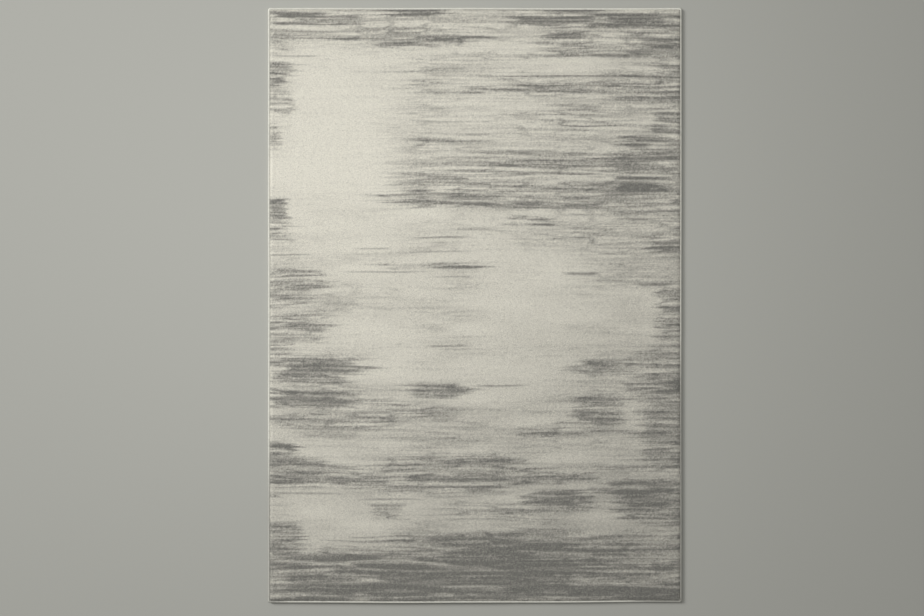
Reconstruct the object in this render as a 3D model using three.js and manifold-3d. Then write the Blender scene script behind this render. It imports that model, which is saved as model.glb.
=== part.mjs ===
// A woven cut-pile area rug, lying flat, as a three.js scene graph.
//
// Units are millimetres. +Z is up, X runs across the rug and Y along it: "head" is the +Y end,
// "foot" the -Y end, "left" is -X and "right" is +X. The origin is on the floor, under the centre.
//
// From the floor up, a backing cloth is glued by a latex coat to a woven ground, and the ground
// holds the pile. The ground runs on past the other layers to a cord along each edge, and an
// overcast yarn sleeve wraps the cord and the ground's rim together. A wrapped corner joins
// each two neighbouring sleeves. A care label is let into the backing's underside.
import * as THREE from "three";
import { mergeVertices } from "three/addons/utils/BufferGeometryUtils.js";
import Module from "manifold-3d";

const wasm = await Module();
wasm.setup();

// Driving dimensions.
const RUG_WIDTH = 1600;
const RUG_LENGTH = 2300;
const BACKING_THICKNESS = 1;
const LATEX_THICKNESS = 0.5;
const GROUND_THICKNESS = 2.5;
const PILE_HEIGHT = 8;
const OVERCAST_WIDTH = 10; // how far the overcast reaches in from the rug's outline
const YARN_THICKNESS = 1.25; // one layer of the overcast yarn
const CORD_RADIUS = 3.25;
const LIP_HEIGHT = 1.25; // the overcast's thickness where it ends on the ground, beside the pile
const GAP = 0.25; // between pieces that touch along a cut or a curve
const LABEL_WIDTH = 60;
const LABEL_LENGTH = 40;
const LABEL_THICKNESS = 0.5;
const LABEL_INSET = 70; // from the rug's outline to the label's nearest edges

// The layers' levels, from the floor up.
const LATEX_BASE = BACKING_THICKNESS;
const GROUND_BASE = LATEX_BASE + LATEX_THICKNESS;
const GROUND_TOP = GROUND_BASE + GROUND_THICKNESS;

// The overcast's section: its round outer edge is centred on the cord.
const WRAP_RADIUS = CORD_RADIUS + YARN_THICKNESS;
const CORD_INSET = WRAP_RADIUS; // from the rug's outline to the cord's axis
const CORD_LEVEL = WRAP_RADIUS;
const GROUND_INSET = CORD_INSET + CORD_RADIUS + GAP; // from the outline to the ground's edge
const LAYER_INSET = OVERCAST_WIDTH + GAP; // from the outline to the pile, latex and backing
const PILE_CORNER = 1.5;
const ROUND_STEPS = 12;
const CORNER_STEPS = 32;
const MERGE_DISTANCE = 1e-4;

const HALF_WIDTH = RUG_WIDTH / 2;
const HALF_LENGTH = RUG_LENGTH / 2;
// The wrapped corners turn about this point, where the sleeves' inner edges would meet.
const CORNER_X = HALF_WIDTH - OVERCAST_WIDTH;
const CORNER_Y = HALF_LENGTH - OVERCAST_WIDTH;

const materials = {
  pile: new THREE.MeshStandardMaterial({ color: 0xb9b6aa, roughness: 0.95, metalness: 0 }),
  ground: new THREE.MeshStandardMaterial({ color: 0xa89b84, roughness: 0.9, metalness: 0 }),
  latex: new THREE.MeshStandardMaterial({ color: 0xd8d2c0, roughness: 0.7, metalness: 0 }),
  backing: new THREE.MeshStandardMaterial({ color: 0xc9bfa8, roughness: 0.95, metalness: 0 }),
  cord: new THREE.MeshStandardMaterial({ color: 0xd6cfbd, roughness: 0.9, metalness: 0 }),
  overcast: new THREE.MeshStandardMaterial({ color: 0xe4e0d2, roughness: 0.85, metalness: 0 }),
  label: new THREE.MeshStandardMaterial({ color: 0xefede6, roughness: 0.6, metalness: 0 }),
};

const rug = new THREE.Group();

function addPiece(name, geometry, material) {
  const mesh = new THREE.Mesh(geometry, material);
  mesh.name = name;
  rug.add(mesh);
  return mesh;
}

// A rectangle about the origin with round corners.
function roundedRectangle(width, length, radius) {
  const x = width / 2;
  const y = length / 2;
  const shape = new THREE.Shape();
  shape.moveTo(x, -y + radius);
  shape.lineTo(x, y - radius);
  shape.absarc(x - radius, y - radius, radius, 0, Math.PI / 2);
  shape.lineTo(-x + radius, y);
  shape.absarc(-x + radius, y - radius, radius, Math.PI / 2, Math.PI);
  shape.lineTo(-x, -y + radius);
  shape.absarc(-x + radius, -y + radius, radius, Math.PI, 1.5 * Math.PI);
  shape.lineTo(x - radius, -y);
  shape.absarc(x - radius, -y + radius, radius, 1.5 * Math.PI, 2 * Math.PI);
  return shape;
}

// A flat layer of the rug, this far inside its outline.
function layer(inset, base, thickness, radius) {
  const shape = roundedRectangle(RUG_WIDTH - 2 * inset, RUG_LENGTH - 2 * inset, radius);
  const options = { depth: thickness, bevelEnabled: false, curveSegments: ROUND_STEPS / 2 };
  return new THREE.ExtrudeGeometry(shape, options).translate(0, 0, base);
}

function solidOf(geometry) {
  const bare = geometry.index ? geometry.toNonIndexed() : geometry.clone();
  bare.deleteAttribute("normal");
  bare.deleteAttribute("uv");
  const merged = mergeVertices(bare, MERGE_DISTANCE);
  const corners = Array.from(merged.index.array);
  const triangles = [];
  for (let i = 0; i < corners.length; i += 3) {
    const [a, b, c] = corners.slice(i, i + 3);
    if (a !== b && b !== c && c !== a) triangles.push(a, b, c);
  }
  const mesh = new wasm.Mesh({
    numProp: 3,
    vertProperties: merged.attributes.position.array,
    triVerts: new Uint32Array(triangles),
  });
  return new wasm.Manifold(mesh);
}

function geometryOf(solid) {
  const mesh = solid.getMesh();
  const geometry = new THREE.BufferGeometry();
  geometry.setAttribute("position", new THREE.BufferAttribute(mesh.vertProperties, 3));
  geometry.setIndex(new THREE.BufferAttribute(mesh.triVerts, 1));
  geometry.computeVertexNormals();
  return geometry;
}

// The overcast's outer edge from the foot of its bottom lip to the top of its upper lip, on a path
// whose x grows inwards from the rug's outline and whose y is the height above the floor. It
// leaves its round over the cord along the tangent that meets the upper lip.
function wrapOutline(path) {
  const run = OVERCAST_WIDTH - CORD_INSET;
  const rise = GROUND_TOP + LIP_HEIGHT - CORD_LEVEL;
  const tangent = Math.atan2(rise, run) + Math.acos(WRAP_RADIUS / Math.hypot(run, rise));
  path.moveTo(OVERCAST_WIDTH, 0);
  path.lineTo(CORD_INSET, 0);
  path.absarc(CORD_INSET, CORD_LEVEL, WRAP_RADIUS, 1.5 * Math.PI, Math.PI, true);
  path.absarc(CORD_INSET, CORD_LEVEL, WRAP_RADIUS, Math.PI, tangent, true);
  path.lineTo(OVERCAST_WIDTH, GROUND_TOP + LIP_HEIGHT);
}

// The sleeve's C-shaped section, open towards the ground's rim and the cord.
function sleeveSection() {
  const bore = CORD_RADIUS + GAP;
  const upper = Math.asin((GROUND_TOP - CORD_LEVEL) / bore);
  const lower = Math.asin((GROUND_BASE - CORD_LEVEL) / bore);
  const shape = new THREE.Shape();
  wrapOutline(shape);
  shape.lineTo(OVERCAST_WIDTH, GROUND_TOP);
  shape.absarc(CORD_INSET, CORD_LEVEL, bore, upper, 2 * Math.PI + lower, false);
  shape.lineTo(OVERCAST_WIDTH, GROUND_BASE);
  return shape;
}

// A bar of that section, centred on the origin of its length, which runs along Y. Its outline
// side faces -X, with the rug's left outline at x = 0.
function leftBar(section, length) {
  const options = { depth: length, bevelEnabled: false, curveSegments: ROUND_STEPS };
  return new THREE.ExtrudeGeometry(section, options)
    .rotateX(Math.PI / 2)
    .translate(0, length / 2, 0);
}

const EDGES = [
  { name: "left", turn: 0, out: HALF_WIDTH, along: 2 * CORNER_Y },
  { name: "foot", turn: Math.PI / 2, out: HALF_LENGTH, along: 2 * CORNER_X },
  { name: "right", turn: Math.PI, out: HALF_WIDTH, along: 2 * CORNER_Y },
  { name: "head", turn: -Math.PI / 2, out: HALF_LENGTH, along: 2 * CORNER_X },
];

function addLayers() {
  addPiece("pile_field", layer(LAYER_INSET, GROUND_TOP, PILE_HEIGHT, PILE_CORNER), materials.pile);
  const groundCorner = OVERCAST_WIDTH - GROUND_INSET;
  const ground = layer(GROUND_INSET, GROUND_BASE, GROUND_THICKNESS, groundCorner);
  addPiece("ground_weave", ground, materials.ground);
  const latex = layer(LAYER_INSET, LATEX_BASE, LATEX_THICKNESS, PILE_CORNER);
  addPiece("latex_coat", latex, materials.latex);
}

// The backing cloth has a shallow seat in its underside that the label fills.
function addBackingAndLabel() {
  const x = -HALF_WIDTH + LABEL_INSET + LABEL_WIDTH / 2;
  const y = -HALF_LENGTH + LABEL_INSET + LABEL_LENGTH / 2;
  const seatDepth = LABEL_THICKNESS + GAP;
  const seat = new THREE.BoxGeometry(LABEL_WIDTH + 2 * GAP, LABEL_LENGTH + 2 * GAP, 2 * seatDepth);
  const cloth = solidOf(layer(LAYER_INSET, 0, BACKING_THICKNESS, PILE_CORNER));
  const seated = cloth.subtract(solidOf(seat.translate(x, y, 0)));
  addPiece("backing_cloth", geometryOf(seated), materials.backing);
  const label = new THREE.BoxGeometry(LABEL_WIDTH, LABEL_LENGTH, LABEL_THICKNESS);
  addPiece("care_label", label, materials.label).position.set(x, y, LABEL_THICKNESS / 2);
}

function addEdges() {
  const section = sleeveSection();
  for (const { name, turn, out, along } of EDGES) {
    const length = along - 2 * GAP;
    const sleeve = addPiece(`overcast_${name}`, leftBar(section, length), materials.overcast);
    sleeve.rotation.z = turn;
    sleeve.position.set(-out * Math.cos(turn), -out * Math.sin(turn), 0);
    const cord = new THREE.CylinderGeometry(CORD_RADIUS, CORD_RADIUS, length, ROUND_STEPS);
    const core = addPiece(`edge_cord_${name}`, cord, materials.cord);
    const reach = out - CORD_INSET;
    core.rotation.z = turn;
    core.position.set(-reach * Math.cos(turn), -reach * Math.sin(turn), CORD_LEVEL);
  }
}

// A quarter turn of the wrap, with a slot for the ground's round corner.
function cornerWrap() {
  const path = new THREE.Path();
  wrapOutline(path);
  const profile = path
    .getPoints(ROUND_STEPS)
    .map((point) => new THREE.Vector2(OVERCAST_WIDTH - point.x, point.y));
  const dome = solidOf(new THREE.LatheGeometry(profile, CORNER_STEPS).rotateX(Math.PI / 2));
  const slotRadius = OVERCAST_WIDTH - GROUND_INSET + GAP;
  const slotHeight = GROUND_THICKNESS + 2 * GAP;
  const slot = new THREE.CylinderGeometry(slotRadius, slotRadius, slotHeight, CORNER_STEPS)
    .rotateX(Math.PI / 2)
    .translate(0, 0, (GROUND_BASE + GROUND_TOP) / 2);
  const reach = 2 * OVERCAST_WIDTH;
  const quarter = new THREE.BoxGeometry(reach, reach, reach).translate(reach / 2, reach / 2, 0);
  return geometryOf(dome.subtract(solidOf(slot)).intersect(solidOf(quarter)));
}

function addCorners() {
  const wrap = cornerWrap();
  const corners = [
    { name: "head_right", turn: 0, x: CORNER_X, y: CORNER_Y },
    { name: "head_left", turn: Math.PI / 2, x: -CORNER_X, y: CORNER_Y },
    { name: "foot_left", turn: Math.PI, x: -CORNER_X, y: -CORNER_Y },
    { name: "foot_right", turn: -Math.PI / 2, x: CORNER_X, y: -CORNER_Y },
  ];
  for (const { name, turn, x, y } of corners) {
    const corner = addPiece(`corner_wrap_${name}`, wrap, materials.overcast);
    corner.rotation.z = turn;
    corner.position.set(x, y, 0);
  }
}

addLayers();
addBackingAndLabel();
addEdges();
addCorners();

export default rug;
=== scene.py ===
"""A cut-pile area rug: its pile, overcast edges and inner layers, made round the CAD frame.

Everything is in metres, +Z up. "Across" is X, to the right, and "along" is Y, towards the head
end, both from the rug's centre.
"""

import math

import bpy
import numpy as np
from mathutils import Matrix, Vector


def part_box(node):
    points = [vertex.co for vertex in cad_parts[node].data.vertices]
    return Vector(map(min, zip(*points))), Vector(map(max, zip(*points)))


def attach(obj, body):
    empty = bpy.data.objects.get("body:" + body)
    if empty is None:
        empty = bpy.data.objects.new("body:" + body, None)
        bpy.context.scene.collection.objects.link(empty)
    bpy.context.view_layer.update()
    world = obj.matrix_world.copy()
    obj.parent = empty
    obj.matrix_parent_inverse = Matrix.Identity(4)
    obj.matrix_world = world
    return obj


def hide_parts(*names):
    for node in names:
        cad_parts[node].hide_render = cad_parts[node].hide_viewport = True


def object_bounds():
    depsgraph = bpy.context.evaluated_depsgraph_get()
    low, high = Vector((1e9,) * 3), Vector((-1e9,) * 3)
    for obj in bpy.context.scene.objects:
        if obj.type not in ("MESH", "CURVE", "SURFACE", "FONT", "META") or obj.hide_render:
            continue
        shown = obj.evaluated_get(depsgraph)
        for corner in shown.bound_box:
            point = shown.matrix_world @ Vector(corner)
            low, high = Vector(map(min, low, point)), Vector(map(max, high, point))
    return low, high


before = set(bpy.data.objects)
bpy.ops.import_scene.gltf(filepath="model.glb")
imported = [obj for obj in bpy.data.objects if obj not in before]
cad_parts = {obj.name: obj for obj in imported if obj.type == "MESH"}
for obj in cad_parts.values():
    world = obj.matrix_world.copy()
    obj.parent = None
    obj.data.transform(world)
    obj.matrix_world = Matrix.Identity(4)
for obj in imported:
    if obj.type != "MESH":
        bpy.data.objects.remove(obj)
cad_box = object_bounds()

MM = 0.001
BODY = "root"

# Sizes that the frame gives.
HALF_WIDTH, HALF_LENGTH, TOP = cad_box[1]
PILE_LOW, PILE_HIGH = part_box("pile_field")
GROUND_LOW, GROUND_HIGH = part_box("ground_weave")
LABEL_LOW, LABEL_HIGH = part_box("care_label")
CORD_LOW, CORD_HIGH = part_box("edge_cord_left")
SLEEVE_LOW, SLEEVE_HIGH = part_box("overcast_left")
PILE_HEIGHT = PILE_HIGH.z - PILE_LOW.z
CORD_RADIUS = (CORD_HIGH.z - CORD_LOW.z) / 2
CORD_LEVEL = (CORD_HIGH.z + CORD_LOW.z) / 2
CORD_INSET = HALF_WIDTH + CORD_LOW.x + CORD_RADIUS
OVERCAST_WIDTH = SLEEVE_HIGH.x - SLEEVE_LOW.x

# Each edge is a turn from the left edge, its distance from the centre, half its length, and a
# seed for its yarn.
EDGES = {
    "left": (0.0, HALF_WIDTH, HALF_LENGTH, 64),
    "foot": (math.pi / 2, HALF_LENGTH, HALF_WIDTH, 64),
    "right": (math.pi, HALF_WIDTH, HALF_LENGTH, 65),
    "head": (-math.pi / 2, HALF_LENGTH, HALF_WIDTH, 64),
}
# Each corner is a turn from the head-right corner and the signs of its place across and along.
CORNERS = {
    "head_right": (0.0, 1, 1),
    "head_left": (math.pi / 2, -1, 1),
    "foot_left": (math.pi, -1, -1),
    "foot_right": (-math.pi / 2, 1, -1),
}

# The pile. Its tufts are uneven, in clumps, and it is sheared lower towards its rim.
TUFT_PITCH = 3 * MM
TUFT_STRAY = 0.7 * MM
TUFT_RELIEF = 0.7 * MM
CLUMP_ACROSS = 12 * MM
CLUMP_ALONG = 9 * MM
RIM_DROP = 1.7 * MM
RIM_SLOPE = 10 * MM
# The rim's rounded section: how far in each line of points is, and its share of the height.
RIM_INSETS = np.array([0.0, -0.6, -0.9, -0.2, 1.4]) * MM
RIM_HEIGHTS = np.array([0.0, 0.40, 0.80, 0.95, 1.0])

# The single tufts round the rim, in two rows.
EDGE_TUFT_PITCH = 2.7 * MM
EDGE_TUFT_ROWS = (-0.2 * MM, 1.9 * MM)
EDGE_TUFT_RADIUS = 1.25 * MM
EDGE_TUFT_SIDES = 6
EDGE_TUFT_LEAN = 1.1 * MM
EDGE_TUFT_LEAN_SWING = 0.9 * MM
EDGE_TUFT_DRIFT = 0.8 * MM
# A tuft's rings: how far up each is, and its share of the radius.
EDGE_TUFT_RINGS = ((0.0, 0.75), (0.45, 0.95), (0.92, 1.15), (0.985, 0.95), (1.0, 0.45))

# The overcast yarn.
WRAP_PITCH = 2.75 * MM
YARN_HALF_WIDTH = 1.35 * MM
YARN_HALF_THICKNESS = 0.6 * MM
YARN_SIDES = 6
YARN_LEAN = 2.5 * MM
YARN_WIDTH_SWING = 0.12
YARN_TONE_SWING = 0.06
YARN_ROUND_STEPS = 9
LIP_ROUNDING = 0.4 * MM
CORNER_WRAPS = 8
CORNER_SEED = 80
# How much darker the edge yarn is made along the sides near the foot and along the foot near its
# right end.
FOOT_DARKENING = 0.36

# The edge cords.
CORD_STEP = 3 * MM
CORD_SIDES = 12
CORD_STRANDS = 3
CORD_LAY = 18 * MM
STRAND_DIP = 0.14

# The flat layers: how far apart their points are, the hollow that the label presses into the
# backing, and how far apart the threads of each weave are.
GROUND_STEP = 10 * MM
LATEX_STEP = 20 * MM
BACKING_STEP = 5 * MM
LABEL_STEP = 1 * MM
LABEL_CLEARANCE = 0.2 * MM
LABEL_HOLLOW_MARGIN = 0.5 * MM
LABEL_HOLLOW_END = 4 * MM
JUTE_PITCH = 3 * MM
CANVAS_PITCH = 3.5 * MM
RIBBON_PITCH = 0.6 * MM

# How the rug lies. Its edges sway, each by half of its sway at most, it lifts off the floor in a
# few low ripples near its rim, and its foot curls up, but less at the corners.
SIDE_SWAY = 1.6 * MM
HEAD_SWAY = 2.4 * MM
FOOT_SWAY = 11 * MM
SIDE_BEND = 0.45
END_BEND = 0.30
RIPPLE_LIFT = 1.5 * MM
RIPPLE_LENGTH = 0.35
FOOT_CURL = 6 * MM
CURL_WIDTH = 45 * MM
CURL_LENGTH = 0.22

# Colours.
CREAM = (0.818, 0.788, 0.684)
LIGHT_GREY = (0.640, 0.616, 0.537)
MID_GREY = (0.380, 0.366, 0.324)
DARK_GREY = (0.166, 0.164, 0.148)
IVORY = (0.720, 0.713, 0.640)
JUTE = (0.420, 0.350, 0.240)
LATEX = (0.640, 0.600, 0.480)
CANVAS = (0.540, 0.490, 0.385)
COTTON = (0.660, 0.620, 0.520)
SATIN = (0.850, 0.840, 0.800)
FLOOR_GREY = (0.42, 0.42, 0.385)
SKY_WHITE = (1.0, 1.0, 0.98)

# The camera, and the width of floor that it sees.
CAMERA_HEIGHT = 5.5
CAMERA_ACROSS = -0.050
CAMERA_ALONG = -0.010
VIEW_WIDTH = 3.568
SENSOR_WIDTH = 36.0
FAR_CLIP = 100.0

# The floor and the light.
FLOOR_SIZE = 90.0
KEY_DISTANCE = 14.0
KEY_AZIMUTH = math.radians(152)
KEY_ELEVATION = math.radians(26)
KEY_SIZE = 5.0
KEY_POWER = 1650.0
OVERHEAD_PLACE = (-0.38, 0.40, 2.4)
OVERHEAD_SIZE = 1.2
OVERHEAD_POWER = 19.5
SKY_STRENGTH = 0.295

# ---------------------------------------------------------------- pattern
# The pile's pattern is grey yarn brushed across a cream field. Each spot is how far right of
# centre it is, how far towards the head, half its size across, half its size along, and its
# strength from 0 to 1.
SMUDGES = [
    # Wide faint washes.
    (0.050, 1.085, 0.800, 0.060, 0.12),
    (0.300, 0.930, 0.600, 0.060, 0.08),
    (0.280, 0.420, 0.500, 0.050, 0.36),
    (0.500, 0.270, 0.400, 0.060, 0.15),
    (-0.500, 0.020, 0.350, 0.080, 0.12),
    (0.700, -0.800, 0.120, 0.040, 0.45),
    (0.400, -0.920, 0.450, 0.050, 0.35),
    (0.000, -1.070, 1.000, 0.080, 0.58),
    # The head end.
    (0.770, 0.950, 0.060, 0.060, 0.50),
    (0.760, 0.700, 0.070, 0.070, 0.50),
    (0.780, 0.550, 0.040, 0.050, 0.40),
    (-0.690, 1.122, 0.125, 0.011, 0.85),
    (-0.600, 1.096, 0.160, 0.017, 0.60),
    (-0.230, 1.128, 0.100, 0.014, 0.85),
    (-0.190, 1.021, 0.180, 0.021, 0.55),
    (0.370, 1.130, 0.180, 0.010, 0.80),
    (0.590, 1.100, 0.220, 0.025, 0.95),
    (0.290, 1.094, 0.150, 0.020, 0.65),
    (0.345, 1.040, 0.085, 0.014, 0.80),
    (0.690, 1.010, 0.120, 0.040, 0.75),
    (0.450, 0.985, 0.190, 0.026, 0.45),
    (0.340, 0.838, 0.200, 0.017, 0.50),
    (0.060, 0.832, 0.110, 0.013, 0.35),
    (0.670, 0.826, 0.150, 0.036, 0.45),
    (-0.770, 0.915, 0.070, 0.024, 0.60),
    (-0.775, 0.862, 0.050, 0.018, 0.70),
    (-0.760, 0.780, 0.060, 0.045, 0.45),
    (-0.785, 0.650, 0.035, 0.045, 0.40),
    (-0.170, 0.677, 0.260, 0.110, 0.09),
    (0.690, 0.630, 0.130, 0.025, 0.92),
    (0.420, 0.700, 0.330, 0.060, 0.12),
    # Above the middle.
    (-0.765, 0.378, 0.040, 0.036, 0.75),
    (-0.740, 0.075, 0.130, 0.060, 0.60),
    (-0.160, 0.488, 0.170, 0.023, 0.42),
    (-0.145, 0.417, 0.150, 0.032, 0.48),
    (0.250, 0.533, 0.250, 0.038, 0.45),
    (0.650, 0.469, 0.120, 0.038, 0.98),
    (0.640, 0.550, 0.170, 0.037, 0.75),
    (0.100, 0.392, 0.160, 0.015, 0.65),
    (0.360, 0.385, 0.150, 0.010, 0.60),
    (0.630, 0.359, 0.100, 0.010, 0.75),
    (0.220, 0.326, 0.090, 0.018, 0.45),
    (0.380, 0.253, 0.100, 0.012, 0.40),
    (0.745, 0.243, 0.065, 0.032, 0.75),
    (-0.176, 0.148, 0.180, 0.010, 0.60),
    # Below the middle.
    (-0.690, -0.085, 0.120, 0.044, 0.65),
    (-0.640, -0.249, 0.170, 0.045, 0.75),
    (-0.640, -0.356, 0.160, 0.036, 0.75),
    (-0.560, -0.445, 0.260, 0.027, 0.50),
    (-0.746, -0.554, 0.060, 0.024, 0.80),
    (-0.144, -0.324, 0.100, 0.026, 0.60),
    (-0.290, -0.400, 0.190, 0.040, 0.20),
    (-0.140, -0.530, 0.180, 0.030, 0.16),
    (0.534, -0.245, 0.130, 0.027, 0.52),
    (0.470, -0.406, 0.100, 0.050, 0.60),
    (0.247, -0.491, 0.080, 0.017, 0.45),
    (0.760, -0.030, 0.050, 0.100, 0.50),
    (0.745, -0.340, 0.065, 0.013, 0.85),
    (0.735, -0.410, 0.095, 0.200, 0.50),
    (0.250, -0.480, 0.550, 0.110, 0.08),
    # The foot end.
    (-0.700, -0.647, 0.140, 0.050, 0.62),
    (-0.450, -0.655, 0.170, 0.040, 0.42),
    (-0.050, -0.650, 0.250, 0.060, 0.60),
    (-0.198, -0.662, 0.060, 0.010, 0.90),
    (0.300, -0.668, 0.150, 0.020, 0.40),
    (0.080, -0.790, 0.180, 0.035, 0.32),
    (-0.340, -0.795, 0.070, 0.028, 0.40),
    (0.324, -0.755, 0.110, 0.036, 0.75),
    (0.668, -0.735, 0.140, 0.050, 0.90),
    (-0.740, -0.909, 0.080, 0.060, 0.50),
    (-0.750, -0.920, 0.050, 0.010, 0.80),
    (0.090, -0.929, 0.460, 0.038, 0.74),
    (-0.144, -1.050, 0.680, 0.085, 0.90),
    (-0.730, -1.065, 0.110, 0.070, 0.55),
    (0.736, -1.023, 0.065, 0.034, 0.85),
    (0.640, -1.105, 0.210, 0.030, 0.88),
]
# Thin single lines.
LINES = [
    (-0.580, 1.060, 0.210, 0.004, 0.60),
    (-0.580, 1.033, 0.210, 0.003, 0.50),
    (-0.700, 0.965, 0.090, 0.004, 0.70),
    (-0.720, 0.932, 0.070, 0.003, 0.60),
    (0.440, 0.883, 0.350, 0.0035, 0.80),
    (-0.130, 0.823, 0.140, 0.006, 0.45),
    (-0.200, 0.760, 0.150, 0.003, 0.45),
    (-0.100, 0.710, 0.160, 0.003, 0.45),
    (0.450, 0.695, 0.100, 0.003, 0.70),
    (0.350, 0.680, 0.150, 0.003, 0.50),
    (-0.150, 0.635, 0.180, 0.003, 0.50),
    (0.210, 0.591, 0.200, 0.008, 0.60),
    (-0.720, 0.310, 0.080, 0.003, 0.60),
    (-0.740, 0.257, 0.060, 0.003, 0.60),
    (-0.720, 0.200, 0.090, 0.003, 0.60),
    (0.610, 0.334, 0.080, 0.005, 0.60),
    (0.417, 0.123, 0.070, 0.0065, 1.00),
    (0.690, 0.079, 0.070, 0.007, 0.75),
    (-0.136, 0.260, 0.110, 0.004, 0.85),
    (-0.395, 0.222, 0.080, 0.004, 0.75),
    (-0.143, 0.204, 0.140, 0.003, 0.60),
    (-0.358, 0.127, 0.150, 0.004, 0.80),
    (-0.080, 0.106, 0.080, 0.003, 0.60),
    (-0.100, -0.157, 0.090, 0.004, 0.85),
    (0.087, -0.306, 0.110, 0.004, 0.85),
    (0.385, -0.497, 0.040, 0.004, 0.70),
    (0.515, -0.487, 0.083, 0.004, 0.70),
    (0.736, -0.126, 0.060, 0.005, 0.70),
    (-0.660, -0.724, 0.140, 0.005, 0.70),
    (-0.390, -0.686, 0.080, 0.010, 0.65),
    (-0.327, -0.747, 0.110, 0.005, 0.70),
    (-0.090, -0.740, 0.090, 0.005, 0.50),
    (0.730, -0.810, 0.060, 0.003, 0.60),
    (0.730, -0.850, 0.060, 0.003, 0.60),
    (0.730, -0.870, 0.060, 0.003, 0.60),
]
# Places where the cream shows clear.
CLEARINGS = [
    (-0.560, 0.580, 0.260, 0.260, 1.00),
    (-0.450, 0.800, 0.200, 0.140, 0.70),
    (0.320, 0.925, 0.280, 0.028, 0.80),
    (0.190, 0.050, 0.230, 0.330, 0.90),
    (0.560, -0.080, 0.180, 0.120, 0.50),
    (-0.350, -0.050, 0.160, 0.200, 0.60),
    (-0.250, 0.320, 0.200, 0.060, 0.40),
    (0.570, -1.035, 0.110, 0.030, 0.80),
    (0.620, -0.925, 0.110, 0.040, 0.90),
    (0.580, -0.845, 0.180, 0.045, 0.70),
    (-0.300, -0.560, 0.300, 0.030, 0.15),
    (-0.550, -0.800, 0.250, 0.060, 0.60),
    (0.080, -0.400, 0.160, 0.080, 0.70),
    (0.300, -0.250, 0.130, 0.060, 0.75),
    (-0.330, -0.250, 0.080, 0.060, 0.60),
    (-0.180, -0.800, 0.110, 0.040, 0.60),
]
# Brushed streaks of three sizes: each one's share, length, pitch and seed.
STREAKS = [
    (0.42, 0.26, 0.0095, 21),
    (0.34, 0.10, 0.0060, 22),
    (0.24, 0.035, 0.0045, 23),
]
# A spot is whole up to its core and gone past its fade, as shares of its half size. Its ends
# are ragged in rows of this length and pitch.
SPOT_CORE = 0.45
SPOT_FADE_ACROSS = 1.3
SPOT_FADE_ALONG = 1.5
RAGGED_LENGTH = 1 / 3
RAGGED_PITCH = 0.006


def smooth(value, low, high):
    """0 below low and 1 above high, with a soft step between them."""
    t = np.clip((value - low) / (high - low), 0, 1)
    return t * t * (3 - 2 * t)


def noise(x, y, seed):
    """Smooth noise from 0 to 1, with about one bump to each unit of x and y."""
    size = 256
    table = np.random.default_rng(seed).random((size, size))
    column, row = np.floor(x).astype(int), np.floor(y).astype(int)
    sideways, upwards = smooth(x - column, 0, 1), smooth(y - row, 0, 1)
    here, there = column % size, (column + 1) % size
    low, high = row % size, (row + 1) % size
    lower = table[low, here] * (1 - sideways) + table[low, there] * sideways
    upper = table[high, here] * (1 - sideways) + table[high, there] * sideways
    return lower * (1 - upwards) + upper * upwards


def mottle(across, row, length, pitch, seed):
    """Noise from 0 to 1 in blots about length long across the rug and pitch high along it."""
    return noise(across / length, row / pitch, seed)


def covered(across, along, spots, seed, ragged, edge):
    """How far a list of spots covers each point, from 0 to 1.

    ragged is how uneven the spots' ends are, row by row. edge is where a spot starts to fade
    along the rug, as a share of its half size.
    """
    bare = np.ones_like(across)
    for i, (right, up, half_across, half_along, strength) in enumerate(spots):
        out_across = np.abs(across - right) / half_across
        out_along = np.abs(along - up) / half_along
        # No spot reaches further than this, however ragged it is.
        near = np.nonzero((out_across < 2.2) & (out_along < 1.6))
        rows = mottle(across[near], along[near], RAGGED_LENGTH, RAGGED_PITCH, seed + i) - 0.5
        out_across = out_across[near] * (1 + ragged * rows)
        sideways = 1 - smooth(out_across, SPOT_CORE, SPOT_FADE_ACROSS)
        lengthways = 1 - smooth(out_along[near], edge, SPOT_FADE_ALONG)
        bare[near] *= 1 - strength * sideways * lengthways
    return 1 - bare


def strands(across, row, length, pitch, seed):
    """Thin lines across the rug, each about length long and pitch from the next, from 0 to 1."""
    middle = 1 - np.abs(2 * mottle(across, row, length, pitch, seed) - 1)
    return smooth(middle, 0.62, 0.98)


def bowed(across, along):
    """Where along the rug a point would be, if the rows of its pattern didn't bow a little."""
    bow = 0.012 * (noise(across * 2.2 + 5, along * 3 + 9, seed=11) - 0.5)
    bow += 0.004 * (noise(across * 7, along * 12, seed=12) - 0.5)
    return along + bow


def streak_at(across, row):
    """How dense the brushed yarn is, from 0 to 1."""
    streak = sum(
        part * mottle(across, row, length, pitch, seed) for part, length, pitch, seed in STREAKS
    )
    return np.clip((streak - 0.5) * 1.9 + 0.5, 0, 1)


def teeth_at(across, along, row):
    """Short teeth of grey, which reach in from both sides, and more so towards the foot-right."""
    teeth = smooth(mottle(across, row, length=1 / 3, pitch=0.011, seed=30), 0.3, 0.7)
    patch = smooth(mottle(across, row, length=1, pitch=0.10, seed=36), 0.2, 0.7)
    reach = 0.70 + 0.06 * mottle(across, row, length=1, pitch=0.014, seed=37)
    rim = smooth(np.abs(across), reach - 0.06, 0.80) * (0.3 + 0.7 * teeth) * patch
    return rim * (0.35 + 0.55 * smooth(across - 0.5 * along, 0.0, 0.8))


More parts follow.
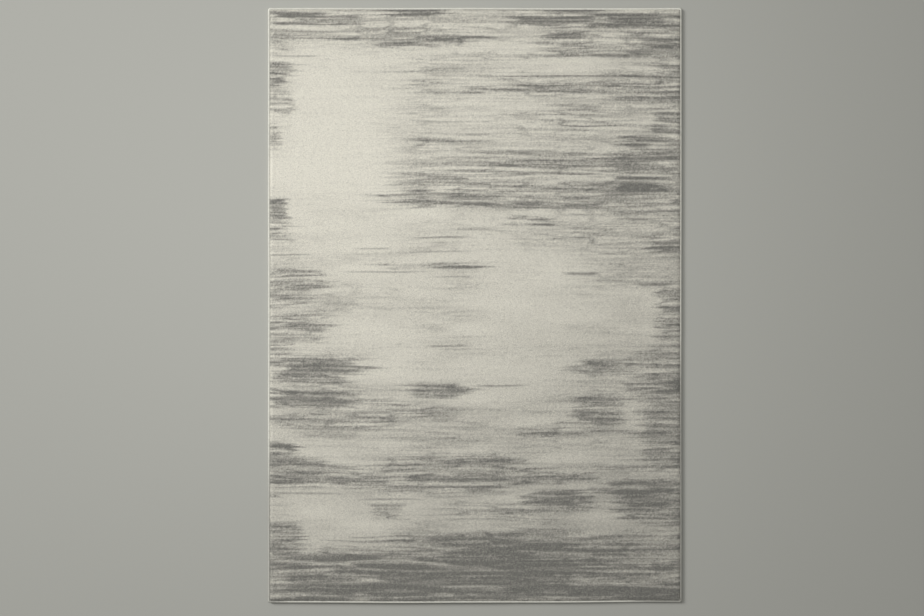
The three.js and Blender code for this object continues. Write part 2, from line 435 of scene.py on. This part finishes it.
def grey_at(across, along):
    """How grey the pile is at each point: 0 is cream and 1 is the darkest grey."""
    row = bowed(across, along)
    wash = covered(across, row, SMUDGES, seed=100, ragged=0.8, edge=0.6)
    line = covered(across, row, LINES, seed=200, ragged=0.5, edge=0.2)
    cream = covered(across, row, CLEARINGS, seed=300, ragged=0.5, edge=0.2)
    tuft = mottle(across, row, length=0.0045, pitch=0.0037, seed=24) - 0.5
    cloud = mottle(across, row, length=0.20, pitch=0.045, seed=25) - 0.5

    # The field turns from cream at the head-left to taupe at the foot-right.
    field = np.clip(0.18 + 0.10 * across - 0.18 * along, 0.03, 1)
    field = field * (0.7 + 0.6 * mottle(across, row, length=0.15, pitch=0.05, seed=38))

    # share is how much of the yarn round here is grey.
    general = 0.115 + 0.06 * smooth(across + 0.8 * along, -0.4, 0.8)
    share = (general + 0.22 * cloud) * (1 - 0.80 * cream)
    share += (1 - share) * np.maximum(0.90 * wash, teeth_at(across, along, row))
    share = np.clip(share, 0, 1)
    brush = smooth(streak_at(across, row) + share + 0.35 * tuft, 0.72, 1.28)
    added = 0.64 * share + 0.42 * brush * (0.30 + 0.70 * share)

    # Single dark strands show where the grey is thin, and light ones where it is thick.
    long_dark = strands(across, row, length=0.32, pitch=0.012, seed=26)
    short_dark = strands(across, row, length=0.13, pitch=0.010, seed=27)
    dark = np.maximum(long_dark, short_dark)
    light = strands(across, row, length=0.30, pitch=0.013, seed=28)
    gleam = strands(across, row, length=0.30, pitch=0.026, seed=29)
    gleam *= smooth(mottle(across, row, length=0.15, pitch=0.02, seed=34), 0.35, 0.65)
    added += 0.52 * dark * smooth(share, 0.03, 0.40) * (1.1 - share)
    added -= 0.30 * light * smooth(share, 0.1, 0.6) + 0.40 * gleam * smooth(share, 0.5, 0.8)
    added += line * 0.6 * (1 - wash)

    # The darkest greys are held back, and each tuft is a little lighter or darker by chance.
    grey = field + (1 - field) * added
    grey = np.minimum(grey, 0.80 + 0.15 * grey)
    grey += tuft * (0.07 + 0.18 * smooth(share, 0.05, 0.4) * (1.3 - share))
    return np.clip(grey, 0, 1)


# ---------------------------------------------------------------- how the rug lies


def scatter(count, seed):
    """Random numbers from -1 to 1."""
    return np.random.default_rng(seed).uniform(-1, 1, count)


def lie(points):
    """Moves the points of the flat rug to where they are as it lies on the floor."""
    across, along, up = points.T
    # How near each point is to a side and to an end, from 0 to 1, with a sign for which.
    side = smooth(np.abs(across), 0.7 * HALF_WIDTH, HALF_WIDTH) * np.sign(across)
    end = smooth(np.abs(along), 0.8 * HALF_LENGTH, HALF_LENGTH) * np.sign(along)
    rim = np.maximum(np.abs(side), np.abs(end))
    # Each edge sways by a row of noise of its own.
    side_sway = noise(along / SIDE_BEND, 2.5 + side, seed=31) - 0.5
    end_sway = noise(across / END_BEND, 5.5 + end, seed=32) - 0.5
    ripple = noise(across / RIPPLE_LENGTH, along / RIPPLE_LENGTH, seed=33)
    ripple = smooth(ripple, 0.62, 1.0) * rim

    # The curl fades out before the foot-right corner, and halves towards the foot-left.
    foot = np.clip(1 - (along + HALF_LENGTH) / CURL_WIDTH, 0, 1.1) ** 2
    foot *= (1 - smooth(across, 0.45, 0.68)) * (0.5 + 0.5 * smooth(across, -0.78, -0.6))
    curl = 0.4 + 0.6 * noise(across / CURL_LENGTH, np.full_like(across, 3.5), seed=35)

    across = across + SIDE_SWAY * side_sway * np.abs(side)
    along = along + np.where(end > 0, HEAD_SWAY, FOOT_SWAY) * end_sway * np.abs(end)
    up = up + RIPPLE_LIFT * ripple + FOOT_CURL * foot * curl
    return np.stack([across, along, up], axis=-1)


# ---------------------------------------------------------------- meshes


def grid_faces(rows, columns, joined=False):
    """The faces of a grid of points stored row by row. A joined grid is a tube."""
    steps = columns if joined else columns - 1
    row = np.arange(rows - 1)[:, None] * columns
    here = np.arange(steps)[None, :]
    there = (here + 1) % columns
    corners = row + here, row + there, row + columns + there, row + columns + here
    return np.stack(corners, axis=-1).reshape(-1, 4)


def capped_tube(rows, columns):
    """The faces of a tube of rings, closed at both ends. A ring has an even number of points."""
    step = np.arange(columns // 2 - 1)
    cap = np.stack([step, step + 1, columns - 2 - step, columns - 1 - step], axis=-1)
    last = (rows - 1) * columns
    return np.concatenate([grid_faces(rows, columns, joined=True), cap[:, ::-1], cap + last])


def round_points(sides):
    """The cosines and sines of evenly spaced turns round a circle."""
    turn = 2 * math.pi * np.arange(sides) / sides
    return np.cos(turn), np.sin(turn)


def turned(turn, depth, along_edge):
    """The X and Y of places on an edge, from their depth and their distance along the edge."""
    cosine, sine = math.cos(turn), math.sin(turn)
    return depth * cosine - along_edge * sine, depth * sine + along_edge * cosine


def volume(points, faces):
    """The volume inside closed faces, which is negative if they face inwards."""
    a, b, c, d = (points[faces[:, i]] for i in range(4))
    cone = (a * np.cross(b, c)).sum() + (a * np.cross(c, d)).sum()
    return cone / 6


def make_piece(name, points, faces, material, slot, replaces=(), closed=True, **values):
    """A mesh of four-sided faces, laid on the floor with the rug and riding on its body.

    values are named numbers for its material, one at each point.
    """
    if closed and volume(points, faces) < 0:
        faces = faces[:, ::-1]
    mesh = bpy.data.meshes.new(name)
    mesh.vertices.add(len(points))
    mesh.vertices.foreach_set("co", lie(points).astype(np.float32).ravel())
    mesh.loops.add(faces.size)
    mesh.loops.foreach_set("vertex_index", np.ascontiguousarray(faces, dtype=np.int32).ravel())
    mesh.polygons.add(len(faces))
    mesh.polygons.foreach_set("loop_start", np.arange(0, faces.size, 4, dtype=np.int32))
    for label, amounts in values.items():
        attribute = mesh.attributes.new(label, "FLOAT", "POINT")
        attribute.data.foreach_set("value", amounts.astype(np.float32))
    mesh.update(calc_edges=True)
    mesh.shade_smooth()
    mesh.materials.append(material)
    piece = bpy.data.objects.new(name, mesh)
    bpy.context.scene.collection.objects.link(piece)
    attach(piece, BODY)
    if replaces:
        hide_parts(*replaces)
    return piece


# ---------------------------------------------------------------- materials


class Nodes:
    """A material whose nodes are added and joined by name."""

    def __init__(self, name, sheen):
        self.material = bpy.data.materials.new(name)
        self.material.use_nodes = True
        self.tree = self.material.node_tree
        self.shader = self.tree.nodes["Principled BSDF"]
        self.shader.inputs["Specular IOR Level"].default_value = 0.25
        self.shader.inputs["Sheen Weight"].default_value = sheen
        self.shader.inputs["Sheen Roughness"].default_value = 0.55
        self.place = self.add("ShaderNodeTexCoord").outputs["Object"]

    def add(self, kind, **settings):
        """A new node with the given settings."""
        node = self.tree.nodes.new(kind)
        for key, value in settings.items():
            setattr(node, key, value)
        return node

    def join(self, source, target):
        """Links an output socket to an input socket."""
        self.tree.links.new(source, target)

    def put(self, target, value):
        """Links a socket to target, or sets target to a plain value."""
        if isinstance(value, bpy.types.NodeSocket):
            self.join(value, target)
        else:
            target.default_value = value

    def scaled(self, x, y, z):
        """The place on the object, with so many repeats to the metre along each axis."""
        mapping = self.add("ShaderNodeMapping")
        self.join(self.place, mapping.inputs["Vector"])
        mapping.inputs["Scale"].default_value = (x, y, z)
        return mapping.outputs["Vector"]

    def noise(self, x, y, z, detail=2.0):
        """Noise from 0 to 1, with so many bumps to the metre along each axis."""
        node = self.add("ShaderNodeTexNoise")
        self.join(self.scaled(x, y, z), node.inputs["Vector"])
        node.inputs["Scale"].default_value = 1.0
        node.inputs["Detail"].default_value = detail
        return node.outputs["Fac"]

    def attribute(self, name):
        """A number that the mesh holds for each of its points."""
        return self.add("ShaderNodeAttribute", attribute_name=name).outputs["Fac"]

    def math(self, operation, a, b=0.0, clamp=False):
        """A sum or function of sockets and plain numbers."""
        node = self.add("ShaderNodeMath", operation=operation, use_clamp=clamp)
        self.put(node.inputs[0], a)
        self.put(node.inputs[1], b)
        return node.outputs[0]

    def product(self, first, *others):
        """All the given sockets multiplied together."""
        for other in others:
            first = self.math("MULTIPLY", first, other)
        return first

    def about(self, fac, centre, swing):
        """centre plus or minus half of swing, as fac goes from 0 to 1."""
        node = self.add("ShaderNodeMapRange")
        self.join(fac, node.inputs["Value"])
        node.inputs["To Min"].default_value = centre - swing / 2
        node.inputs["To Max"].default_value = centre + swing / 2
        return node.outputs["Result"]

    def ramp(self, fac, stops):
        """A colour that runs through stops, each a place from 0 to 1 and its colour."""
        node = self.add("ShaderNodeValToRGB")
        self.join(fac, node.inputs["Fac"])
        elements = node.color_ramp.elements
        while len(elements) < len(stops):
            elements.new(0.5)
        for element, (position, colour) in zip(elements, stops):
            element.position = position
            element.color = (*colour, 1.0)
        return node.outputs["Color"]

    def tinted(self, colour, fac):
        """colour made darker or lighter by fac, which is about 1."""
        node = self.add("ShaderNodeVectorMath", operation="SCALE")
        self.put(node.inputs[0], colour)
        self.put(node.inputs["Scale"], fac)
        return node.outputs["Vector"]

    def finish(self, colour, height, distance, roughness):
        """Sets the colour, the bump, whose height 1 is distance metres, and the roughness."""
        self.join(colour, self.shader.inputs["Base Color"])
        bump = self.add("ShaderNodeBump")
        bump.inputs["Distance"].default_value = distance
        self.join(height, bump.inputs["Height"])
        self.join(bump.outputs["Normal"], self.shader.inputs["Normal"])
        self.join(roughness, self.shader.inputs["Roughness"])
        return self.material


def pile_material():
    """Cut tufts, each of its own shade, from the cream field to the darkest grey."""
    nodes = Nodes("pile_yarn", sheen=0.15)
    tuft = nodes.add("ShaderNodeTexVoronoi")
    nodes.join(nodes.scaled(440, 400, 60), tuft.inputs["Vector"])
    tuft.inputs["Scale"].default_value = 1.0
    chance = nodes.add("ShaderNodeSeparateColor")
    nodes.join(tuft.outputs["Color"], chance.inputs["Color"])
    grey = nodes.math(
        "ADD",
        nodes.attribute("grey"),
        nodes.about(chance.outputs["Red"], centre=0.0, swing=0.26),
        clamp=True,
    )
    yarn = nodes.ramp(
        grey, [(0.0, CREAM), (0.33, LIGHT_GREY), (0.66, MID_GREY), (1.0, DARK_GREY)]
    )
    fibre = nodes.noise(1600, 1600, 400, detail=3.0)
    # Each tuft is domed, and painted shade darkens it where it dips to its neighbours.
    dip = nodes.product(tuft.outputs["Distance"], tuft.outputs["Distance"])
    shade = nodes.product(
        nodes.about(fibre, centre=1.0, swing=0.3),
        nodes.about(dip, centre=0.86, swing=-0.42),
        nodes.about(chance.outputs["Green"], centre=1.0, swing=0.1),
    )
    dome = nodes.about(dip, centre=-0.7, swing=-1.4)
    height = nodes.math("ADD", dome, nodes.about(fibre, centre=0.0, swing=1.0))
    roughness = nodes.about(fibre, centre=0.93, swing=0.12)
    tinted = nodes.tinted(yarn, shade)
    return nodes.finish(tinted, height, distance=0.75 * MM, roughness=roughness)


def spun_material(name, colour):
    """A spun yarn: fine fibres, and a tone that each point of the piece gives."""
    nodes = Nodes(name, sheen=0.2)
    fibre = nodes.noise(1500, 1500, 1500, detail=3.0)
    shade = nodes.product(nodes.about(fibre, centre=1.0, swing=0.18), nodes.attribute("tone"))
    roughness = nodes.about(fibre, centre=0.85, swing=0.2)
    tinted = nodes.tinted(colour, shade)
    return nodes.finish(tinted, fibre, distance=0.25 * MM, roughness=roughness)


def woven_material(name, colour, pitch, sheen=0.1, swing=0.45):
    """A plain weave. Its threads are pitch apart, and each goes over one thread and under one."""
    nodes = Nodes(name, sheen=sheen)
    place = nodes.add("ShaderNodeSeparateXYZ")
    nodes.join(nodes.place, place.inputs[0])
    turns = [nodes.math("MULTIPLY", place.outputs[axis], math.pi / pitch) for axis in "XY"]
    warp, weft = (nodes.math("SINE", turn) for turn in turns)
    warp_is_over = nodes.math("GREATER_THAN", nodes.product(warp, weft), 0.0)
    warp_round, weft_round = (nodes.math("ABSOLUTE", side) for side in (warp, weft))
    warp_high = nodes.product(warp_round, nodes.about(weft_round, centre=0.75, swing=0.5))
    weft_high = nodes.product(weft_round, nodes.about(warp_round, centre=0.75, swing=0.5))
    rise = nodes.math("SUBTRACT", warp_high, weft_high)
    thread = nodes.math("ADD", weft_high, nodes.product(rise, warp_is_over))
    fibre = nodes.noise(900, 900, 900)
    # A thread is painted darker where it sinks low, under its neighbour and between threads:
    # painted shade in the weave's hollows.
    shade = nodes.product(
        nodes.about(thread, centre=0.9, swing=swing),
        nodes.about(fibre, centre=1.0, swing=0.2),
        nodes.about(nodes.noise(18, 18, 18), centre=1.0, swing=0.2),
    )
    height = nodes.math("ADD", thread, nodes.about(fibre, centre=0.0, swing=0.3))
    roughness = nodes.about(fibre, centre=0.88, swing=0.16)
    tinted = nodes.tinted(colour, shade)
    return nodes.finish(tinted, height, distance=pitch / 6, roughness=roughness)


def latex_material():
    """The rubbery skin between the ground weave and the backing."""
    nodes = Nodes("latex_skin", sheen=0.0)
    skin = nodes.noise(160, 160, 160, detail=4.0)
    tinted = nodes.tinted(LATEX, nodes.about(skin, centre=1.0, swing=0.3))
    roughness = nodes.about(skin, centre=0.6, swing=0.25)
    return nodes.finish(tinted, skin, distance=0.2 * MM, roughness=roughness)


# ---------------------------------------------------------------- pile


def pile_lines(half):
    """The pile's lines of points from one edge to the other, and how high each stands, from 0."""
    inner = half - RIM_INSETS[-1]
    count = int(round(2 * inner / TUFT_PITCH))
    middle = np.linspace(-inner, inner, count + 1)[1:-1]
    places = np.concatenate([RIM_INSETS - half, middle, (half - RIM_INSETS)[::-1]])
    heights = np.concatenate([RIM_HEIGHTS, np.ones(len(middle)), RIM_HEIGHTS[::-1]])
    return places, heights


def make_pile(material):
    """The field of tufts: a bumpy top whose rounded rim reaches down to the ground weave."""
    across, rise_across = pile_lines(PILE_HIGH.x)
    along, rise_along = pile_lines(PILE_HIGH.y)
    x, y = (a.ravel() for a in np.meshgrid(across, along))
    rise = np.minimum(*np.meshgrid(rise_across, rise_along)).ravel()
    # The rim's foot stays where it is, and everything above it strays.
    free = smooth(rise, 0.0, 0.6)
    x = x + TUFT_STRAY * scatter(x.size, 41) * free
    y = y + TUFT_STRAY * scatter(y.size, 42) * free
    # Each point has its clump's height and its own, and most are below the CAD's level.
    clump = noise(x / CLUMP_ACROSS, y / CLUMP_ALONG, seed=43) - 0.5
    relief = TUFT_RELIEF * (0.4 * scatter(x.size, 44) + 0.3 * clump - 0.4) * free
    inward = np.minimum(PILE_HIGH.x - np.abs(x), PILE_HIGH.y - np.abs(y))
    drop = RIM_DROP * rise * (1 - smooth(inward, 0, RIM_SLOPE))
    z = PILE_LOW.z + PILE_HEIGHT * rise + relief - drop
    return make_piece(
        "pile",
        np.stack([x, y, z], axis=-1),
        grid_faces(len(along), len(across)),
        material,
        "pile",
        replaces=["pile_field"],
        closed=False,
        grey=grey_at(x, y),
    )


def rim_places(inset, pitch):
    """Points all round the rug, inset from its outline, and the outward direction at each."""
    places, outward = [], []
    for turn, out, reach, _ in EDGES.values():
        half = reach - inset
        count = int(2 * half / pitch)
        along_edge = (np.arange(count) + 0.5) * 2 * half / count - half
        places.append(np.stack(turned(turn, inset - out, along_edge), axis=-1))
        outward.append(np.tile([-math.cos(turn), -math.sin(turn)], (count, 1)))
    return np.concatenate(places), np.concatenate(outward)


def make_edge_tufts(material):
    """Single tufts round the pile's rim, leaning out over the overcast by different amounts."""
    inset = HALF_WIDTH - PILE_HIGH.x
    rows = [rim_places(inset + depth, EDGE_TUFT_PITCH) for depth in EDGE_TUFT_ROWS]
    foot = np.concatenate([places for places, _ in rows])
    outward = np.concatenate([direction for _, direction in rows])
    sideways = outward[:, ::-1] * [-1, 1]
    count = len(foot)
    lean = EDGE_TUFT_LEAN + EDGE_TUFT_LEAN_SWING * scatter(count, 51)
    drift = EDGE_TUFT_DRIFT * scatter(count, 52)
    height = PILE_HEIGHT * (0.93 + 0.06 * scatter(count, 53)) - RIM_DROP
    fatness = EDGE_TUFT_RADIUS * (1 + 0.15 * scatter(count, 54))
    circle = np.stack(round_points(EDGE_TUFT_SIDES), axis=-1)
    rings = []
    for level, width in EDGE_TUFT_RINGS:
        bend = level**2
        centre = foot + outward * (lean * bend)[:, None] + sideways * (drift * bend)[:, None]
        ring = np.empty((count, EDGE_TUFT_SIDES, 3))
        ring[..., :2] = centre[:, None] + (fatness * width)[:, None, None] * circle
        ring[..., 2] = (PILE_LOW.z + level * height)[:, None]
        rings.append(ring)
    tuft_size = len(rings) * EDGE_TUFT_SIDES
    start = np.arange(count) * tuft_size
    faces = capped_tube(len(rings), EDGE_TUFT_SIDES)[None] + start[:, None, None]
    grey = np.clip(grey_at(*foot.T) + 0.15 * scatter(count, 55), 0, 1)
    return make_piece(
        "pile_edge_tufts",
        np.stack(rings, axis=1).reshape(-1, 3),
        faces.reshape(-1, 4),
        material,
        "pile",
        grey=np.repeat(grey, tuft_size),
    )


# ---------------------------------------------------------------- edges


def yarn_turn():
    """One turn of yarn, from under the cord, round it, down to the lip, and back underneath.

    Gives each point's depth in from the outline and its height, and the direction, inwards and
    upwards, in which the yarn's thickness is laid there.
    """
    radius = CORD_RADIUS + YARN_HALF_THICKNESS
    lip = OVERCAST_WIDTH - YARN_HALF_THICKNESS
    upper = GROUND_HIGH.z + YARN_HALF_THICKNESS
    lower = YARN_HALF_THICKNESS
    run, rise = lip - CORD_INSET, upper - CORD_LEVEL
    tangent = math.atan2(rise, run) + math.acos(radius / math.hypot(run, rise))
    swing = np.linspace(-math.pi / 2, tangent - 2 * math.pi, YARN_ROUND_STEPS)
    depth = CORD_INSET + radius * np.cos(swing)
    height = CORD_LEVEL + radius * np.sin(swing)
    slope = math.cos(tangent), math.sin(tangent)
    legs = [
        ((depth[-1] + lip) / 2, (height[-1] + upper) / 2, *slope),
        (lip - LIP_ROUNDING, upper, *slope),
        (lip, (upper + lower) / 2, 1.0, 0.0),
        (lip - LIP_ROUNDING, lower, 0.3, -0.95),
        ((CORD_INSET + lip) / 2, lower, 0.0, -1.0),
    ]
    leg_depth, leg_height, leg_in, leg_up = np.array(legs).T
    return (
        np.concatenate([depth, leg_depth]),
        np.concatenate([height, leg_height]),
        np.concatenate([np.cos(swing), leg_in]),
        np.concatenate([np.sin(swing), leg_up]),
    )


def yarn_tone(points, wraps, seed):
    """How light the yarn is: each turn is its own, and it is darker towards the foot-right."""
    across, along, _ = points.T
    # The sides are darker near the foot, and the foot is darker near its right end.
    side = smooth(np.abs(across), 0.70, 0.79) * smooth(0.25 * across - along, 0.25, 0.60)
    foot = smooth(-along, 1.12, 1.14) * smooth(across, 0.56, 0.70)
    turns = np.repeat(scatter(wraps, seed), len(points) // wraps)
    return (1 - FOOT_DARKENING * np.maximum(side, foot)) * (1 + YARN_TONE_SWING * turns)


def yarn_rings(turns, place, width):
    """Rings of points round a yarn of the given half width.

    turns is what yarn_turn gives, once for each turn. place gives the X and Y of a depth in from
    the outline and a shift beside the yarn.
    """
    depth, height, inward, upward = turns
    beside, proud = round_points(YARN_SIDES)
    beside = width[:, None] * beside
    proud = YARN_HALF_THICKNESS * proud
    x, y = place(depth[:, None] + inward[:, None] * proud, beside)
    return np.stack([x, y, height[:, None] + upward[:, None] * proud], axis=-1).reshape(-1, 3)


def make_edge_yarn(name, material):
    """The yarn wound along one edge, each turn leaning a little and of its own width."""
    turn, out, reach, seed = EDGES[name]
    half = reach - OVERCAST_WIDTH + YARN_HALF_WIDTH
    wraps = int(round(2 * half / WRAP_PITCH))
    turns = [np.tile(a, wraps) for a in yarn_turn()]
    depth = turns[0]
    along_edge = np.linspace(-half, half, depth.size)
    along_edge += YARN_LEAN * depth / OVERCAST_WIDTH - YARN_LEAN / 2
    chance = np.repeat(scatter(wraps, seed), depth.size // wraps)
    width = YARN_HALF_WIDTH * (1 + YARN_WIDTH_SWING * chance)

    def place(ring_depth, beside):
        return turned(turn, ring_depth - out, along_edge[:, None] + beside)

    points = yarn_rings(turns, place, width)
    return make_piece(
        f"overcast_yarn_{name}",
        points,
        capped_tube(depth.size, YARN_SIDES),
        material,
        "overcast",
        replaces=[f"overcast_{name}"],
        tone=yarn_tone(points, wraps, seed + 10),
    )


def make_corner_yarn(name, material):
    """The yarn fans round a corner, with its inner turns bunched at the corner's pivot."""
    turn, side, end = CORNERS[name]
    turns = [np.tile(a, CORNER_WRAPS) for a in yarn_turn()]
    depth = turns[0]
    fan = turn + np.linspace(0, math.pi / 2, depth.size)[:, None]
    pivot_x, pivot_y = side * (HALF_WIDTH - OVERCAST_WIDTH), end * (HALF_LENGTH - OVERCAST_WIDTH)
    width = YARN_HALF_WIDTH * np.clip(1 - depth / OVERCAST_WIDTH, 0.25, 0.9)

    def place(ring_depth, beside):
        cosine, sine = np.cos(fan), np.sin(fan)
        radius = OVERCAST_WIDTH - ring_depth
        x = pivot_x + radius * cosine - beside * sine
        y = pivot_y + radius * sine + beside * cosine
        return x, y

    points = yarn_rings(turns, place, width)
    return make_piece(
        f"corner_yarn_{name}",
        points,
        capped_tube(depth.size, YARN_SIDES),
        material,
        "overcast",
        replaces=[f"corner_wrap_{name}"],
        tone=yarn_tone(points, CORNER_WRAPS, CORNER_SEED),
    )


def make_edge_cord(name, material):
    """A cord of three strands twisted together."""
    turn, out, reach, _ = EDGES[name]
    half = reach - OVERCAST_WIDTH
    rings = int(2 * half / CORD_STEP)
    along_edge = np.linspace(-half, half, rings)[:, None]
    angle = 2 * math.pi * np.arange(CORD_SIDES)[None, :] / CORD_SIDES
    strand = np.cos(CORD_STRANDS * (angle - 2 * math.pi * along_edge / CORD_LAY))
    radius = CORD_RADIUS * (1 - STRAND_DIP + STRAND_DIP * strand)
    depth = CORD_INSET - out + radius * np.cos(angle)
    height = CORD_LEVEL + radius * np.sin(angle)
    x, y = turned(turn, depth, along_edge)
    points = np.stack([x, y, height], axis=-1).reshape(-1, 3)
    return make_piece(
        f"twisted_cord_{name}",
        points,
        capped_tube(rings, CORD_SIDES),
        material,
        "cord",
        replaces=[f"edge_cord_{name}"],
        tone=np.ones(len(points)),
    )


# ---------------------------------------------------------------- layers


def lines(low, high, pitch):
    """Evenly spaced lines from low to high, about pitch apart."""
    return np.linspace(low, high, int(round((high - low) / pitch)) + 1)


def make_layer(name, node, step, material, slot, hollow=None):
    """A flat layer that fills its CAD node's box, as a tube of rings with its two ends closed.

    hollow gives how far its underside is pressed in at each place.
    """
    low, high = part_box(node)
    across, along = lines(low.x, high.x, step), lines(low.y, high.y, step)
    x, y = np.meshgrid(across, along)
    top = np.stack([x, y, np.full_like(x, high.z)], axis=-1)
    under = np.stack([x, y, np.full_like(x, low.z)], axis=-1)
    if hollow is not None:
        under[..., 2] += hollow(x, y)
    points = np.concatenate([under, top[:, ::-1]], axis=1).reshape(-1, 3)
    faces = capped_tube(len(along), 2 * len(across))
    return make_piece(name, points, faces, material, slot, replaces=[node])


def label_hollow(x, y):
    """How far the backing gives way above the label, which the rug's weight presses into it."""
    middle = (LABEL_LOW + LABEL_HIGH) / 2
    half = (LABEL_HIGH - LABEL_LOW) / 2
    past = np.maximum(np.abs(x - middle.x) - half.x, np.abs(y - middle.y) - half.y)
    depth = LABEL_HIGH.z + LABEL_CLEARANCE
    return depth * (1 - smooth(past, LABEL_HOLLOW_MARGIN, LABEL_HOLLOW_END))


# ---------------------------------------------------------------- stage


def make_stage():
    """A plain pale floor."""
    nodes = Nodes("plain_floor", sheen=0.0)
    nodes.shader.inputs["Base Color"].default_value = (*FLOOR_GREY, 1.0)
    nodes.shader.inputs["Roughness"].default_value = 0.8
    bpy.ops.mesh.primitive_plane_add(size=FLOOR_SIZE, location=(0, 0, 0))
    floor = bpy.context.object
    floor.name = "floor"
    floor.data.materials.append(nodes.material)


def add_lamp(name, place, rotation, size, power):
    """A round soft lamp, which the camera doesn't see."""
    light = bpy.data.lights.new(name, "AREA")
    light.shape = "DISK"
    light.size = size
    light.energy = power
    lamp = bpy.data.objects.new(name, light)
    lamp.location = place
    lamp.rotation_euler = rotation
    lamp.visible_camera = False
    bpy.context.scene.collection.objects.link(lamp)


def make_lights():
    """A soft key lamp from the head-left, a lamp overhead, and an even sky."""
    level = KEY_DISTANCE * math.cos(KEY_ELEVATION)
    key_place = (
        level * math.cos(KEY_AZIMUTH),
        level * math.sin(KEY_AZIMUTH),
        KEY_DISTANCE * math.sin(KEY_ELEVATION),
    )
    key_turn = (math.pi / 2 - KEY_ELEVATION, 0, KEY_AZIMUTH + math.pi / 2)
    add_lamp("key", key_place, key_turn, KEY_SIZE, KEY_POWER)
    add_lamp("overhead", OVERHEAD_PLACE, (0, 0, 0), OVERHEAD_SIZE, OVERHEAD_POWER)
    world = bpy.data.worlds.new("studio")
    world.use_nodes = True
    sky = world.node_tree.nodes["Background"].inputs
    sky["Color"].default_value = (*SKY_WHITE, 1.0)
    sky["Strength"].default_value = SKY_STRENGTH
    bpy.context.scene.world = world


def make_camera():
    """A camera above the rug, looking straight down, with its top towards the head."""
    camera = bpy.data.cameras.new("camera")
    camera.sensor_width = SENSOR_WIDTH
    camera.lens = SENSOR_WIDTH * CAMERA_HEIGHT / VIEW_WIDTH
    camera.clip_end = FAR_CLIP
    stand = bpy.data.objects.new("camera", camera)
    stand.location = (CAMERA_ACROSS, CAMERA_ALONG, TOP + CAMERA_HEIGHT)
    bpy.context.scene.collection.objects.link(stand)
    bpy.context.scene.camera = stand
    bpy.context.scene.view_settings.view_transform = "Standard"


# ---------------------------------------------------------------- the rug

make_stage()
make_lights()
make_camera()

pile_yarn = pile_material()
ivory_yarn = spun_material("ivory_yarn", IVORY)
cotton_cord = spun_material("cotton_cord", COTTON)
jute_weave = woven_material("jute_ground", JUTE, JUTE_PITCH)
canvas_weave = woven_material("canvas_backing", CANVAS, CANVAS_PITCH)
ribbon_weave = woven_material("satin_ribbon", SATIN, RIBBON_PITCH, sheen=0.3, swing=0.2)

on_ground = [make_pile(pile_yarn), make_edge_tufts(pile_yarn)]
on_ground += [make_edge_yarn(name, ivory_yarn) for name in EDGES]
on_ground += [make_corner_yarn(name, ivory_yarn) for name in CORNERS]
on_ground += [make_edge_cord(name, cotton_cord) for name in EDGES]
ground = make_layer("ground_cloth", "ground_weave", GROUND_STEP, jute_weave, "ground")
latex = make_layer("latex_skin", "latex_coat", LATEX_STEP, latex_material(), "latex")
backing = make_layer(
    "backing_sheet", "backing_cloth", BACKING_STEP, canvas_weave, "backing", label_hollow
)
label = make_layer("blank_label", "care_label", LABEL_STEP, ribbon_weave, "label")
